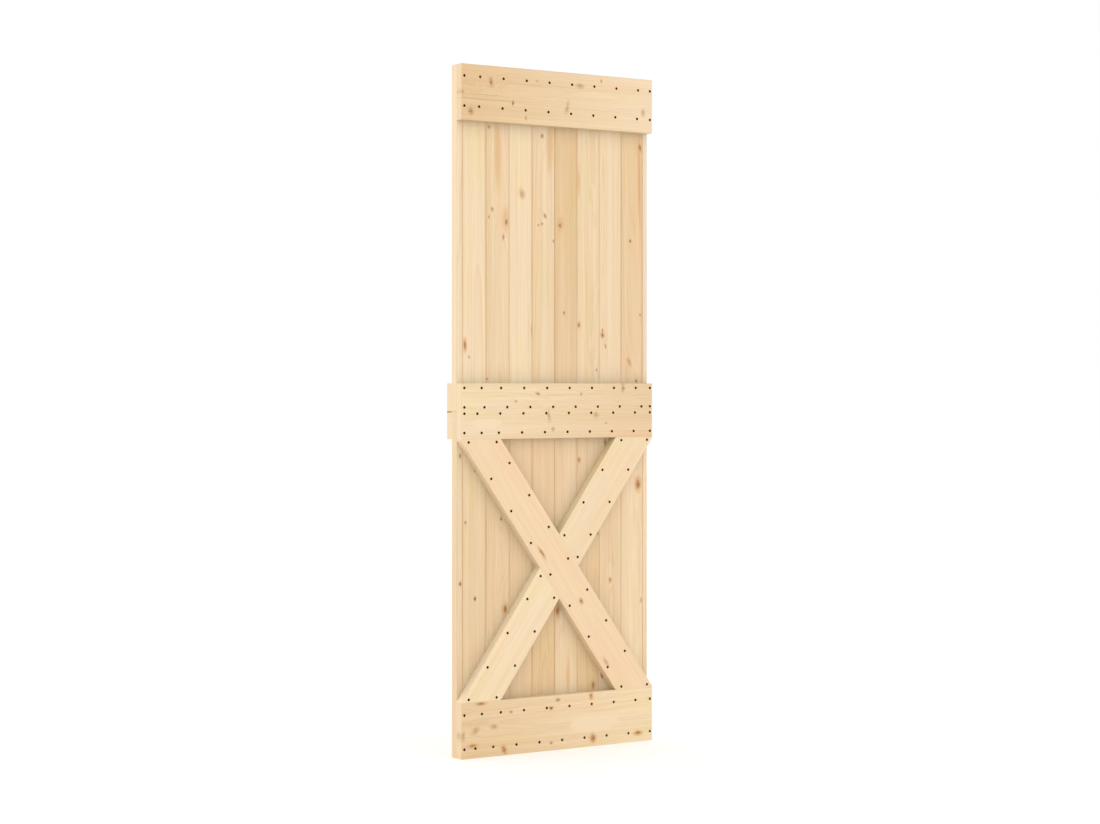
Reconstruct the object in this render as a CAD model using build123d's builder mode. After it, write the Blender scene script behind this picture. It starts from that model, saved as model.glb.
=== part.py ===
"""Barn door leaf: tongue and groove boards, four rails and an X brace, screwed together.

Millimetres, +Z up, +X to the right and +Y to the back, seen from the braced side.
The origin is the middle of the bottom edge, halfway through the boards.
"""

import math
import os

from build123d import *

# Leaf
leaf_width = 700
leaf_height = 2080

# Boards, with a V joint on the braced side
board_cover = 83
board_thickness = 28
left_strip_width = 20
narrowest_right_strip = 16
edge_play = 0.3
vee_depth = 1.5
tongue_length = 5
tongue_thickness = 7
tongue_play = 0.2
splice_play = 0.5

# Rails across the leaf, three in front and one behind the splice
rail_width = 168
rail_thickness = 28

# X brace in the lower bay
brace_width = 115
brace_corner_cut = 4

# Countersunk wood screws, six-sided here because there are so many
head_radius = 4.2
shank_radius = 2.1
shank_play = 0.2
pilot_room = 1
point_length = 5
screw_sides = 6
short_screw_length = 50
long_screw_length = 70

# Screw rows on the rails, each height taken from the nearest edge or from the splice
top_rail_upper_inset = 36
top_rail_lower_inset = 42
middle_rail_upper_inset = 14
above_splice = 12
below_splice = 7
middle_rail_lower_inset = 19
bottom_rail_upper_inset = 37
bottom_rail_lower_inset = 29

# Sideways shift of each row from the middle of its boards, from the top row down; the
# screws in the first board have their own shift
top_rail_shifts = (4, 0)
middle_rail_shifts = (-5, 17, -8, -13)
middle_rail_first_shifts = (9, 19, -6, 9)
bottom_rail_shifts = (-6, -33)
bottom_rail_first_shifts = (10, -13)

# Screw rows along the braces
brace_row_inset = 17.5
brace_screw_pitch = 122
half_brace_stagger = 83
joint_inset = 14
rail_inset = 9
end_pair_inset = 21.5
right_pair_shift = 6
end_clearance = 60

# Leaf edges and the faces of the layers
left_edge = -leaf_width / 2
right_edge = leaf_width / 2
board_front = Plane.XZ.offset(board_thickness / 2)
board_back = Plane.XZ.offset(-board_thickness / 2)
rail_face = -board_thickness / 2 - rail_thickness
splice_height = leaf_height / 2
middle_rail_top = splice_height + rail_width / 2

# Board joints from left to right: a strip, the whole boards, and a strip of what is left
board_count = int((leaf_width - left_strip_width - narrowest_right_strip) / board_cover)
first_joint = left_edge + left_strip_width
board_joints = [first_joint + board_cover * index for index in range(board_count + 1)]
last_joint = board_joints[-1]

# Bay between the middle and bottom rails, and the slope that takes a brace from corner to corner
bay_top = splice_height - rail_width / 2
bay_bottom = rail_width
bay_height = bay_top - bay_bottom
bay_middle = (bay_top + bay_bottom) / 2
brace_rise = bay_height - 2 * brace_corner_cut
brace_angle = math.degrees(
    math.atan2(brace_rise, leaf_width) + math.asin(brace_width / math.hypot(leaf_width, brace_rise))
)
brace_sine = math.sin(math.radians(brace_angle))
brace_cosine = math.cos(math.radians(brace_angle))
brace_row = brace_width / 2 - brace_row_inset
brace_length = 2 * math.hypot(leaf_width, bay_height)

# Fits between the pieces
groove_depth = tongue_length + tongue_play
groove_width = tongue_thickness + 2 * tongue_play
hole_radius = shank_radius + shank_play
head_depth = head_radius - shank_radius
countersink_depth = head_radius - hole_radius

# The corners of a head slope at 45 degrees, and its flats a little less
head_slope = math.degrees(math.atan(math.cos(math.pi / screw_sides)))


def rail_row(height, shift, first_shift):
    """One row of screws on a rail: one for each board and one for each edge strip."""
    row = [((left_edge + first_joint) / 2, height)]
    for index in range(board_count):
        middle = board_joints[index] + board_cover / 2
        row.append((middle + (first_shift if index == 0 else shift), height))
    row.append(((last_joint + right_edge) / 2, height))
    return row


def on_brace(along, across, lean):
    """A point on a brace, from the bay's middle: lean is 1 on the full brace, -1 on the halves."""
    x = lean * (along * brace_cosine + across * brace_sine)
    z = bay_middle - along * brace_sine + across * brace_cosine
    return (x, z)


def end_pair(height, side, shift):
    """Two screws across the end of a brace, level with each other and close to a rail."""
    centre = side * abs(height - bay_middle) * brace_cosine / brace_sine + shift
    half_spacing = brace_width / brace_sine / 2 - end_pair_inset
    return [(centre - half_spacing, height), (centre + half_spacing, height)]


def reach_to_rail(across):
    """Distance along a brace from the bay's middle to the rail, at a distance off its centre line."""
    return (bay_height / 2 - across * brace_cosine) / brace_sine


def full_brace_rows():
    """Pairs counted both ways from the bay's middle."""
    pairs = int((reach_to_rail(brace_row) - end_clearance) / brace_screw_pitch)
    points = []
    for step in range(-pairs, pairs + 1):
        for across in (brace_row, -brace_row):
            points.append(on_brace(step * brace_screw_pitch, across, 1))
    return points


def half_brace_rows():
    """Two staggered rows up the upper half brace, outwards from its joint with the full brace."""
    double_sine = 2 * brace_sine * brace_cosine
    double_cosine = brace_cosine**2 - brace_sine**2
    points = []
    for across, second_gap in ((brace_row, brace_screw_pitch), (-brace_row, half_brace_stagger)):
        along = (brace_width / 2 - across * double_cosine) / double_sine + joint_inset
        gap = second_gap
        while along < reach_to_rail(across) - end_clearance:
            points.append(on_brace(-along, across, -1))
            along += gap
            gap = brace_screw_pitch
    return points


def half_turned(points):
    """The same points after half a turn about the bay's middle."""
    return [(-x, 2 * bay_middle - z) for x, z in points]


def rail_rows(heights, shifts, first_shifts):
    """Every screw of one rail."""
    points = []
    for height, shift, first_shift in zip(heights, shifts, first_shifts):
        points += rail_row(height, shift, first_shift)
    return points


def hexagon(radius):
    """Six-sided section of a screw or of its hole."""
    return RegularPolygon(radius, screw_sides)


def drill(face, points, depth):
    """Straight screw holes from a face into the piece that is being built."""
    with BuildSketch(face) as holes:
        with Locations(*points):
            hexagon(hole_radius)
    extrude(holes.sketch, amount=-depth, mode=Mode.SUBTRACT)


def make_screw(length):
    """One countersunk screw, its head flush with y = 0 and its point towards +Y."""
    with BuildPart() as screw:
        with BuildSketch(Plane.XZ):
            hexagon(head_radius)
        extrude(amount=-head_depth)
        draft(screw.faces().filter_by(Axis.Y, reverse=True), Plane.XZ, -head_slope)
        neck = screw.faces().sort_by(Axis.Y)[-1]
        extrude(neck, amount=length - head_depth - point_length)
        shank_end = screw.faces().sort_by(Axis.Y)[-1]
        loft([shank_end, Vertex(0, length, 0)])
    return screw.part


def make_countersunk_hole():
    """Room for a screw's head and shank through a front rail or brace."""
    with BuildPart() as hole:
        with BuildSketch(Plane.XZ):
            hexagon(head_radius)
        extrude(amount=-countersink_depth)
        draft(hole.faces().filter_by(Axis.Y, reverse=True), Plane.XZ, -head_slope)
        neck = hole.faces().sort_by(Axis.Y)[-1]
        extrude(neck, amount=rail_thickness - countersink_depth)
    return hole.part


def on_rail_front(points):
    """Places of screws or holes in the front face of the rails and braces."""
    return Locations(*[(x, rail_face, z) for x, z in points])


def make_board(left, right, bottom, top, grooved, tongued):
    """A board on end: groove on its left edge, tongue on its right, V joint in front."""
    width = right - left
    middle = (left + right) / 2
    with BuildPart() as board:
        with BuildSketch(Plane.XY.offset(bottom)) as section:
            with Locations((middle, 0)):
                Rectangle(width, board_thickness)
            front_corners = section.vertices().group_by(Axis.Y)[0].sort_by(Axis.X)
            joint_corners = []
            if grooved:
                joint_corners.append(front_corners[0])
            if tongued:
                joint_corners.append(front_corners[-1])
            chamfer(joint_corners, length=vee_depth)
            if grooved:
                with Locations((left, 0)):
                    Rectangle(
                        groove_depth,
                        groove_width,
                        align=(Align.MIN, Align.CENTER),
                        mode=Mode.SUBTRACT,
                    )
            if tongued:
                with Locations((right, 0)):
                    Rectangle(
                        tongue_length + edge_play,
                        tongue_thickness,
                        align=(Align.MIN, Align.CENTER),
                    )
        extrude(amount=top - bottom)
        margin = tongue_length + edge_play + hole_radius
        for points, length in fixings:
            met = [
                (x, z)
                for x, z in points
                if left - hole_radius < x < right + margin and bottom < z < top
            ]
            if met:
                depth = min(length - rail_thickness + pilot_room, board_thickness)
                drill(board_front, met, depth)
    return board.part


def make_front_rail(middle, points):
    """A rail across the braced side, countersunk for its screws."""
    with BuildPart() as rail:
        with BuildSketch(board_front):
            with Locations((0, middle)):
                Rectangle(leaf_width, rail_width)
        extrude(amount=rail_thickness)
        with on_rail_front(points):
            add(countersunk_hole, mode=Mode.SUBTRACT)
    return rail.part


def make_back_rail():
    """The rail behind the splice, which the middle rail's long screws pull up."""
    with BuildPart() as rail:
        with BuildSketch(board_back):
            with Locations((0, splice_height)):
                Rectangle(leaf_width, rail_width)
        extrude(amount=-rail_thickness)
        depth = long_screw_length - rail_thickness - board_thickness + pilot_room
        drill(board_back, middle_rail_points, depth)
    return rail.part


def make_full_brace():
    """The unbroken brace, from the top left of the bay to the bottom right."""
    with BuildPart() as brace:
        with BuildSketch(board_front):
            with Locations((0, bay_middle)):
                Rectangle(leaf_width, bay_height)
                Rectangle(brace_length, brace_width, rotation=-brace_angle, mode=Mode.INTERSECT)
        extrude(amount=rail_thickness)
        with on_rail_front(full_brace_points):
            add(countersunk_hole, mode=Mode.SUBTRACT)
    return brace.part


def make_half_brace(side, points):
    """A half brace from the full brace to a rail: side is 1 for the upper one, -1 for the lower."""
    with BuildPart() as brace:
        with BuildSketch(board_front):
            with Locations((0, bay_middle)):
                Rectangle(leaf_width, bay_height)
                Rectangle(brace_length, brace_width, rotation=brace_angle, mode=Mode.INTERSECT)
                Rectangle(brace_length, brace_width, rotation=-brace_angle, mode=Mode.SUBTRACT)
            far_half = Location((0, bay_middle - side * bay_height / 2))
            with Locations(far_half):
                Rectangle(leaf_width, bay_height, mode=Mode.SUBTRACT)
        extrude(amount=rail_thickness)
        with on_rail_front(points):
            add(countersunk_hole, mode=Mode.SUBTRACT)
    return brace.part


def make_screws(points, length):
    """The screws of one rail or brace, each a solid of its own."""
    screw = make_screw(length)
    with BuildPart() as screws:
        with on_rail_front(points):
            add(screw)
    return screws.part


# Screw places on each rail
top_rail_points = rail_rows(
    (leaf_height - top_rail_upper_inset, leaf_height - rail_width + top_rail_lower_inset),
    top_rail_shifts,
    top_rail_shifts,
)
middle_rail_points = rail_rows(
    (
        middle_rail_top - middle_rail_upper_inset,
        splice_height + above_splice,
        splice_height - below_splice,
        bay_top + middle_rail_lower_inset,
    ),
    middle_rail_shifts,
    middle_rail_first_shifts,
)
bottom_rail_points = rail_rows(
    (rail_width - bottom_rail_upper_inset, bottom_rail_lower_inset),
    bottom_rail_shifts,
    bottom_rail_first_shifts,
)

# Screw places on each brace
upper_pair_height = bay_top - rail_inset
lower_pair_height = bay_bottom + rail_inset
full_brace_points = full_brace_rows()
full_brace_points += end_pair(upper_pair_height, -1, 0)
full_brace_points += end_pair(lower_pair_height, 1, right_pair_shift)
upper_half_points = half_brace_rows() + end_pair(upper_pair_height, 1, right_pair_shift)
lower_half_points = half_turned(half_brace_rows()) + end_pair(lower_pair_height, -1, 0)

fixings = (
    (top_rail_points, short_screw_length),
    (middle_rail_points, long_screw_length),
    (bottom_rail_points, short_screw_length),
    (full_brace_points, short_screw_length),
    (upper_half_points, short_screw_length),
    (lower_half_points, short_screw_length),
)

countersunk_hole = make_countersunk_hole()
pieces = {}

# Boards above and below the splice
rows = (
    ("upper", splice_height + splice_play / 2, leaf_height),
    ("lower", 0, splice_height - splice_play / 2),
)
for level, bottom, top in rows:
    pieces[f"{level}_left_strip"] = make_board(
        left_edge, first_joint - edge_play, bottom, top, grooved=False, tongued=True
    )
    for index in range(board_count):
        left = board_joints[index]
        right = board_joints[index + 1] - edge_play
        pieces[f"{level}_board_{index + 1}"] = make_board(
            left, right, bottom, top, grooved=True, tongued=True
        )
    pieces[f"{level}_right_strip"] = make_board(
        last_joint, right_edge, bottom, top, grooved=True, tongued=False
    )

# Rails and braces
pieces["top_rail"] = make_front_rail(leaf_height - rail_width / 2, top_rail_points)
pieces["middle_rail"] = make_front_rail(splice_height, middle_rail_points)
pieces["bottom_rail"] = make_front_rail(rail_width / 2, bottom_rail_points)
pieces["back_rail"] = make_back_rail()
pieces["full_brace"] = make_full_brace()
pieces["upper_half_brace"] = make_half_brace(1, upper_half_points)
pieces["lower_half_brace"] = make_half_brace(-1, lower_half_points)

# Screws
pieces["top_rail_screws"] = make_screws(top_rail_points, short_screw_length)
pieces["middle_rail_screws"] = make_screws(middle_rail_points, long_screw_length)
pieces["bottom_rail_screws"] = make_screws(bottom_rail_points, short_screw_length)
pieces["full_brace_screws"] = make_screws(full_brace_points, short_screw_length)
pieces["upper_half_brace_screws"] = make_screws(upper_half_points, short_screw_length)
pieces["lower_half_brace_screws"] = make_screws(lower_half_points, short_screw_length)

os.makedirs("parts", exist_ok=True)
for name, piece in pieces.items():
    piece.label = name
    export_step(piece, f"parts/{name}.step")
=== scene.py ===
"""Barn door leaf in bare pine: finishes for its boards, rails and braces, and its screws."""

import math
import random

import bpy
from mathutils import Euler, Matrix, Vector


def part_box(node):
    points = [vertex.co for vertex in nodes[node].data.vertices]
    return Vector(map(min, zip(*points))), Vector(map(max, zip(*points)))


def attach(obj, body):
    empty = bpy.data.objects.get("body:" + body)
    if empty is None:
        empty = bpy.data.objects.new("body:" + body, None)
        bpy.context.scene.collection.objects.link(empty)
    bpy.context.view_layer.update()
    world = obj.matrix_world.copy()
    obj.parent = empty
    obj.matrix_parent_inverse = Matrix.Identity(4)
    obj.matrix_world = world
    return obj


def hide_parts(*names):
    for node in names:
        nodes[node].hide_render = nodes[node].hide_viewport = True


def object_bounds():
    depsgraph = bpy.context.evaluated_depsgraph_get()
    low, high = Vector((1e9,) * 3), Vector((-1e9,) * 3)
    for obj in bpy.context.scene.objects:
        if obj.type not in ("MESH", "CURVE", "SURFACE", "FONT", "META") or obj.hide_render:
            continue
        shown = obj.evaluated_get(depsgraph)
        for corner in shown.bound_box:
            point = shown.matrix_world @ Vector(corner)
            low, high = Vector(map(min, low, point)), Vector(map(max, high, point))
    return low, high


bl_info = {
    "name": "Barn Door Leaf",
    "version": (1, 0, 0),
    "blender": (4, 5, 0),
    "location": "View3D > Sidebar > Barn Door",
    "description": "Pine finishes, screws and a plain stage for a braced barn door leaf",
    "category": "Object",
}

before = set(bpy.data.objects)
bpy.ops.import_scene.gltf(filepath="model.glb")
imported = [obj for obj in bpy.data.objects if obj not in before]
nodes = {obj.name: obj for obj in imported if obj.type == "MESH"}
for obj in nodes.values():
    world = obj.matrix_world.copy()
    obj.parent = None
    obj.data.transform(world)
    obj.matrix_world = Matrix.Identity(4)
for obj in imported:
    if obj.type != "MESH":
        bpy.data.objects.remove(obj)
cad_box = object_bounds()

MM = 0.001
QUARTER_TURN = math.pi / 2

# How far a point may lie off a face or an edge and still count as on it
FACE_SLACK = 0.1 * MM


def paint(red, green, blue):
    """Linear colour for a colour given as it shows on screen, from 0 to 255."""
    shown = (red / 255, green / 255, blue / 255)
    return tuple(c / 12.92 if c <= 0.04045 else ((c + 0.055) / 1.055) ** 2.4 for c in shown)


def span(node):
    """Lowest corner, highest corner and middle of a CAD node."""
    low, high = (Vector(corner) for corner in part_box(node))
    return low, high, (low + high) / 2


FRONT_FACE = span("top_rail")[0].y


def brace_lean():
    """Turn of a brace's grain away from upright, from the corners of the full brace's front."""
    high = span("full_brace")[1]
    vertices = nodes["full_brace"].data.vertices
    corners = [v.co for v in vertices if v.co.y < FRONT_FACE + FACE_SLACK]
    top_end = max(c.x for c in corners if c.z > high.z - FACE_SLACK)
    right_end = max(c.z for c in corners if c.x > high.x - FACE_SLACK)
    return math.atan2(high.x - top_end, high.z - right_end)


LEAN = brace_lean()

# Turn of the grain about the depth axis for each kind of piece
UPRIGHT = 0.0
LEVEL = QUARTER_TURN

# Wood pieces: tone at the low or left end, tone at the high or right end
BOARD_TONES = {
    "upper_left_strip": ("pale", "pale"),
    "upper_board_1": ("pale", "pale"),
    "upper_board_2": ("light", "light"),
    "upper_board_3": ("pale", "pale"),
    "upper_board_4": ("light", "light"),
    "upper_board_5": ("tan", "honey"),
    "upper_board_6": ("light", "light"),
    "upper_board_7": ("light", "pale"),
    "upper_board_8": ("soft", "tan"),
    "upper_right_strip": ("cream", "cream"),
    # Lower boards: darker than the upper ones and most of them darker towards their low ends, partly
    # the boards' own tone and partly painted shade of the bay between the braces and above the bottom
    # rail
    "lower_left_strip": ("soft", "light"),
    "lower_board_1": ("tan", "light"),
    "lower_board_2": ("tan", "soft"),
    "lower_board_3": ("tan", "soft"),
    "lower_board_4": ("honey", "soft"),
    "lower_board_5": ("light", "soft"),
    "lower_board_6": ("honey", "soft"),
    "lower_board_7": ("tan", "soft"),
    "lower_board_8": ("pale", "light"),
    "lower_right_strip": ("light", "pale"),
}
RAIL_TONES = {
    "top_rail": ("honey", "pale"),
    "middle_rail": ("pale", "tan"),
    "bottom_rail": ("tan", "bright"),
    "back_rail": ("light", "pale"),
}
BRACE_TONES = {
    "full_brace": ("rosy", "rosy"),
    "upper_half_brace": ("pale", "pale"),
    "lower_half_brace": ("bright", "bright"),
}
BRACE_TURNS = {
    "full_brace": -LEAN,
    "upper_half_brace": LEAN,
    "lower_half_brace": LEAN,
}

# How strongly the growth rings show on each kind of piece
BOARD_RINGS = 0.75
RAIL_RINGS = 0.8
BRACE_RINGS = 0.28

# Parts of a mark, and where each starts to fade and where it ends, in radii of the mark
MARK_FADES = {
    "Core": (0.25, 1.05),
    "Halo": (0.4, 1.9),
    "Blush": (0.4, 2.2),
    "Clear": (0.85, 1.1),
}

# What a mark hands on: its parts, and how far it pushes the growth rings out
MARK_CHANNELS = (*MARK_FADES, "Bulge")

# How strong the core, brown halo, orange blush and pale wood are in each kind of mark
MARK_KINDS = {
    "dark": (1.0, 0.60, 0.30, 0.0),
    "brown": (0.60, 0.45, 0.12, 0.0),
    "faint": (0.20, 0.45, 0.12, 0.0),
    "red": (0.66, 0.18, 0.90, 0.0),
    "amber": (0.0, 0.06, 0.58, 0.0),
    "pitch": (0.0, 0.50, 0.0, 0.0),
    "clear": (0.0, 0.0, 0.0, 0.8),
}

# Marks: kind, across the leaf from its middle, height, half width across the grain in mm,
# stretch along the grain and tilt in degrees
MARKS = {
    "upper_board_1": [
        ("red", -321, 1239, 5.0, 3.2, 0),
        ("brown", -307, 1203, 3.0, 1.5, 0),
    ],
    "upper_board_2": [
        ("amber", -206, 1815, 8.0, 9.0, 1),
        ("brown", -236, 1899, 4.0, 1.3, 0),
        ("brown", -225, 1651, 4.0, 1.6, 15),
        ("brown", -236, 1627, 3.5, 1.3, 0),
        ("brown", -185, 1568, 4.0, 2.2, 0),
        ("amber", -175, 1622, 10.0, 2.6, 0),
        ("red", -174, 1614, 5.5, 2.0, 0),
        ("brown", -243, 1137, 3.0, 1.4, 0),
    ],
    "upper_board_3": [
        ("faint", -118, 1702, 9.0, 1.5, 20),
        ("red", -81, 1287, 3.0, 5.0, 0),
    ],
    "upper_board_4": [
        ("amber", -16, 1850, 8.0, 7.0, -1),
        ("brown", -45, 1883, 5.0, 1.3, 0),
        ("brown", -34, 1638, 4.5, 1.8, 25),
        ("brown", -45, 1613, 3.5, 1.2, 0),
        ("brown", -58, 1609, 3.0, 1.2, 0),
        ("brown", -3, 1562, 3.0, 1.5, 0),
    ],
    "upper_board_5": [
        ("amber", 21, 1614, 10.0, 1.8, 0),
        ("red", 21, 1611, 6.0, 1.4, 0),
        ("brown", 36, 1341, 4.2, 1.4, 0),
    ],
    "upper_board_6": [
        ("amber", 91, 1748, 4.0, 8.0, 0),
        ("red", 92, 1305, 4.5, 1.8, 0),
        ("brown", 158, 1166, 3.0, 1.5, 0),
    ],
    "upper_board_7": [
        ("brown", 180, 1290, 3.0, 1.8, 0),
        ("red", 180, 1275, 5.5, 1.7, 0),
        ("brown", 191, 1240, 2.5, 3.0, 10),
    ],
    "upper_board_8": [
        ("faint", 282, 1191, 6.0, 2.0, 25),
        ("dark", 286, 1572, 3.8, 1.4, 0),
        ("dark", 309, 1132, 3.5, 1.5, 0),
        ("brown", 324, 1340, 3.0, 1.5, 0),
        ("amber", 320, 1770, 5.0, 22.0, 1),
        ("pitch", 322, 1745, 1.7, 70.0, 1),
        ("red", 323, 1868, 6.0, 2.0, 10),
    ],
    "lower_left_strip": [
        ("dark", -338, 522, 4.2, 1.6, 0),
        ("brown", -338, 906, 4.0, 1.8, 0),
    ],
    "lower_board_1": [
        ("brown", -320, 705, 3.5, 1.6, 0),
        ("dark", -286, 475, 4.2, 1.6, 0),
        ("brown", -286, 860, 3.5, 1.6, 0),
    ],
    "lower_board_2": [
        ("dark", -193, 713, 3.8, 1.6, 0),
        ("red", -179, 439, 7.5, 1.8, 0),
    ],
    "lower_board_5": [
        ("red", 12, 423, 7.5, 2.2, 0),
        ("amber", 51, 220, 5.0, 8.0, 0),
    ],
    "lower_board_6": [
        ("red", 92, 887, 4.5, 1.6, 0),
        ("red", 145, 184, 7.0, 1.9, 0),
        ("dark", 160, 658, 4.0, 1.5, 0),
    ],
    "lower_board_7": [
        ("dark", 178, 211, 4.0, 2.2, 20),
        ("dark", 190, 940, 3.8, 2.5, 0),
        ("red", 209, 509, 4.5, 1.6, 0),
    ],
    "lower_board_8": [
        ("red", 316, 807, 10.0, 1.8, 0),
        ("faint", 328, 440, 4.0, 2.0, 0),
    ],
    "top_rail": [
        ("brown", -246, 2031, 13.0, 0.45, 10),
        ("brown", -81, 2046, 3.0, 1.0, 0),
        ("dark", -168, 1973, 7.0, 0.45, 0),
        ("faint", 77, 2042, 6.0, 2.2, 0),
        ("brown", 156, 2063, 6.0, 0.5, 15),
        ("brown", -317, 1939, 11.0, 0.8, 0),
        ("faint", 29, 1973, 17.0, 0.3, -12),
        ("brown", -121, 1931, 7.0, 0.4, 0),
        ("faint", 316, 1974, 10.0, 0.6, 0),
        ("faint", -346, 1997, 7.0, 0.6, 0),
        ("pitch", -250, 1977, 1.3, 70.0, 0),
        ("pitch", -268, 1991, 1.0, 60.0, 0),
    ],
    "middle_rail": [
        ("clear", -262, 1004, 15.0, 3.6, 0),
        ("brown", -157, 1070, 3.5, 1.2, 0),
        ("brown", -78, 1092, 4.0, 2.0, -20),
        ("faint", -38, 1024, 15.0, 0.3, 10),
        ("faint", -23, 984, 6.0, 1.0, 0),
        ("brown", 81, 1091, 5.0, 0.6, 0),
        ("faint", 137, 1026, 7.0, 1.2, 0),
        ("brown", 174, 1001, 3.0, 1.2, 0),
        ("brown", 239, 1110, 12.0, 0.45, 0),
    ],
    "bottom_rail": [
        ("clear", 132, 70, 24.0, 4.0, 0),
        ("red", -310, 38, 5.0, 2.6, 0),
        ("faint", -300, 83, 8.0, 1.6, 25),
        ("red", -282, 162, 5.0, 3.0, 0),
        ("faint", -236, 89, 7.0, 1.6, 0),
        ("red", -200, 18, 11.0, 0.7, 25),
        ("brown", -175, 129, 4.0, 1.4, 0),
        ("brown", -30, 23, 4.5, 1.4, 0),
        ("dark", -30, 130, 5.0, 1.3, 0),
        ("brown", -5, 153, 5.0, 1.6, 0),
        ("red", 118, 156, 9.0, 0.7, 10),
        ("red", 125, 25, 11.0, 0.9, 0),
        ("red", 296, 27, 6.0, 2.2, 0),
        ("faint", -345, 68, 12.0, 0.5, 0),
    ],
    "back_rail": [
        ("dark", -348, 1038, 2.2, 2.0, 0),
    ],
    "full_brace": [
        ("red", -63, 606, 4.5, 4.0, 0),
        ("red", 81, 452, 5.5, 1.6, 0),
        ("faint", 174, 257, 5.0, 3.0, 0),
    ],
}

# Rings inside a knot: how close together they are, and how far they swing its colour
KNOT_WAVES = 16.0
KNOT_WAVE_HEIGHT = 0.12

# Bulge of the growth rings round a knot: its reach in radii, how much a step along the grain
# counts in that reach, and how far the rings move out
BULGE_REACH = 4.5
BULGE_ALONG = 0.4
BULGE_PUSH = 1.3

# Furthest that noise moves a growth ring, counted in rings
RING_DRIFT = 2.2

# Noise patterns of the wood: stretch across, in depth and along the grain, scale, detail and
# roughness
PATTERNS = {
    "sway": ((5.0, 5.0, 1.0), 2.2, 2.0, 0.55),
    "ripple": ((4.0, 4.0, 1.0), 14.0, 2.0, 0.5),
    "warp": ((1.0, 1.0, 0.4), 260.0, 2.0, 0.6),
    "streak": ((110.0, 110.0, 1.6), 1.0, 3.0, 0.6),
    "band": ((28.0, 28.0, 0.9), 1.0, 2.0, 0.5),
    "fibre": ((900.0, 900.0, 16.0), 1.0, 2.0, 0.6),
    "blotch": ((14.0, 14.0, 4.0), 1.0, 2.0, 0.5),
}

# Full swing of the patterns that move the rings, in metres, and a mark's outline, in radii
SHIFTS = {
    "sway": (0.016, 0.016, 0.0),
    "ripple": (0.0035, 0.0035, 0.0),
    "warp": (1.8, 0.0, 1.8),
}

# What the wood's colour is multiplied by in warm bands, pink and yellow blotches, dusty joints, and
# the painted shade of inner corners between pieces
WARM_TINT = (0.97, 0.90, 0.78)
PINK_TINT = (1.02, 0.965, 0.95)
YELLOW_TINT = (0.985, 1.0, 0.90)
DUST_TINT = (0.50, 0.38, 0.26)
# Painted shade: tint that darkens the wood in inner corners between pieces
PAINTED_SHADE_TINT = (0.76, 0.84, 0.92)

# How much light and dark streaks change red, green and blue
LIFT_SHARES = (1.0, 1.3, 1.9)

# Heights over the floor between which the painted shade of inner corners comes in
PAINTED_SHADE_HEIGHTS = (60 * MM, 110 * MM)

# Distance of the next joint where there is none
NO_JOINT = 10.0

# Screws in each CAD group of screws
SCREW_COUNTS = {
    "top_rail_screws": 20,
    "middle_rail_screws": 40,
    "bottom_rail_screws": 20,
    "full_brace_screws": 18,
    "upper_half_brace_screws": 9,
    "lower_half_brace_screws": 9,
}

# Sizes of a screw that its settings hold
SCREW_SIZES = (
    "Head Radius",
    "Head Depth",
    "Head Lift",
    "Shank Radius",
    "Point Length",
    "Recess Span",
    "Recess Width",
    "Recess Depth",
)

# Sides of a screw's round parts, and the fewest faces that a whole screw can have
HEAD_SIDES = 16
SHANK_SIDES = 6
LEAST_SCREW_FACES = 30

# Corners of one CAD screw head lie nearer to each other than this
HEAD_REACH = 9 * MM

# How much brighter the coating is where it is worn
WORN_BRIGHTNESS = 1.8

# Camera: width of its sensor in mm, and how far it sees
SENSOR_WIDTH = 36.0
VIEW_DEPTH = 200.0

# Soft lamp, how high the sky starts to fade towards straight above, and plain colours
LAMP_PLACE = (4.2, -1.0, 1.6)
LAMP_WIDTH = 2.4
LOW_SKY = 0.15
WHITE = (1.0, 1.0, 1.0, 1.0)
FLOOR_COLOUR = (0.88, 0.88, 0.88, 1.0)

# Layout of the node trees
NODES_IN_ROW = 8
NODE_STEP = (220, 260)


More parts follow.
